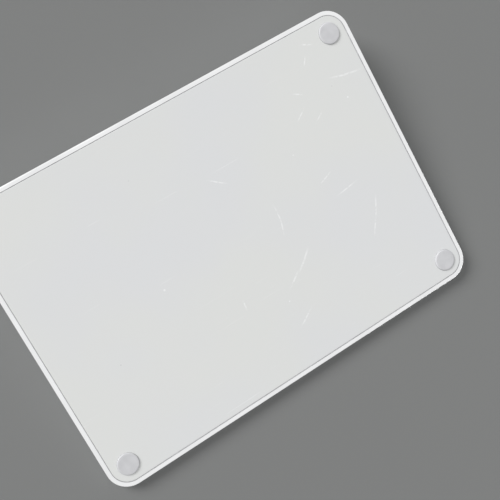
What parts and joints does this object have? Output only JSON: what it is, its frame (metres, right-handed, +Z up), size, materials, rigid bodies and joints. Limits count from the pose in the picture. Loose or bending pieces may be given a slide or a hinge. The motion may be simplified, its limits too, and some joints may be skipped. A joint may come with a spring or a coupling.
{
  "type": "trackpad",
  "caption": "Thin wedge-shaped wireless desk trackpad: floating glass touch surface on sprung force sensors in an aluminium frame with a white underside and round feet.",
  "frame": {"origin": "middle of the footprint, on the plane that the four feet stand on", "axes": "+X to the right along the width, +Y to the thick rear edge, +Z up out of the touch surface"},
  "size_m": [0.16, 0.115, 0.0109],
  "materials": {
    "anodised_aluminium": "fine blasted and anodised",
    "white_panel": "satin moulded white",
    "foot_rubber": "matte light grey",
    "white_glass": "etched white-backed glass",
    "circuit_board": "green solder mask",
    "steel": "rolled",
    "screw_steel": "plated",
    "flex_film": "amber film",
    "gel": "clear soft gel",
    "adhesive": "film",
    "copper_wire": "enamelled winding",
    "cell_wrap": "dark foil wrap",
    "black_plastic": "moulded",
    "ceramic": "fired",
    "socket_steel": "drawn",
    "slider_plastic": "satin moulded"
  },
  "bodies": {
    "base": {"enclosure": "anodised_aluminium", "bottom_panel": "white_panel", "panel_adhesive": "adhesive", "rubber_feet": "foot_rubber", "front_flexures": "steel", "rear_flexures": "steel", "flexure_screws": "screw_steel", "strain_gauges": "flex_film", "sensor_flexes": "flex_film", "actuator_bracket": "steel", "actuator_core": "steel", "actuator_coils": "copper_wire", "actuator_screws": "screw_steel", "battery_cell": "cell_wrap", "battery_adhesive": "adhesive", "battery_board": "circuit_board", "battery_lead": "flex_film", "main_board": "circuit_board", "board_screws": "screw_steel", "board_chips": "black_plastic", "shield_can": "steel", "flex_connectors": "black_plastic", "touch_flex": "flex_film", "antenna": "ceramic", "charge_port": "socket_steel", "port_tongue": "black_plastic", "switch_housing": "black_plastic"},
    "force_pads": {"gel_pads": "gel"},
    "touch_plate": {"cover_glass": "white_glass", "touch_sensor_board": "circuit_board", "stiffener_plate": "steel", "attraction_plate": "steel"},
    "switch": {"switch_slider": "slider_plastic"}
  },
  "joints": [
    {"name": "surface_press", "type": "slide", "parent": "base", "child": "force_pads", "axis": [0, 0.0521, -0.9986], "range_m": [0, 0.0002], "stiffness_N_per_m": 15000, "springref_m": -0.0001, "deforming": ["front_flexures", "rear_flexures"]},
    {"name": "haptic_shift", "type": "slide", "parent": "force_pads", "child": "touch_plate", "axis": [1, 0, 0], "range_m": [-0.0001, 0.0001], "stiffness_N_per_m": 15000},
    {"name": "power_switch", "type": "slide", "parent": "base", "child": "switch", "axis": [1, 0, 0], "range_m": [0, 0.002]}
  ]
}
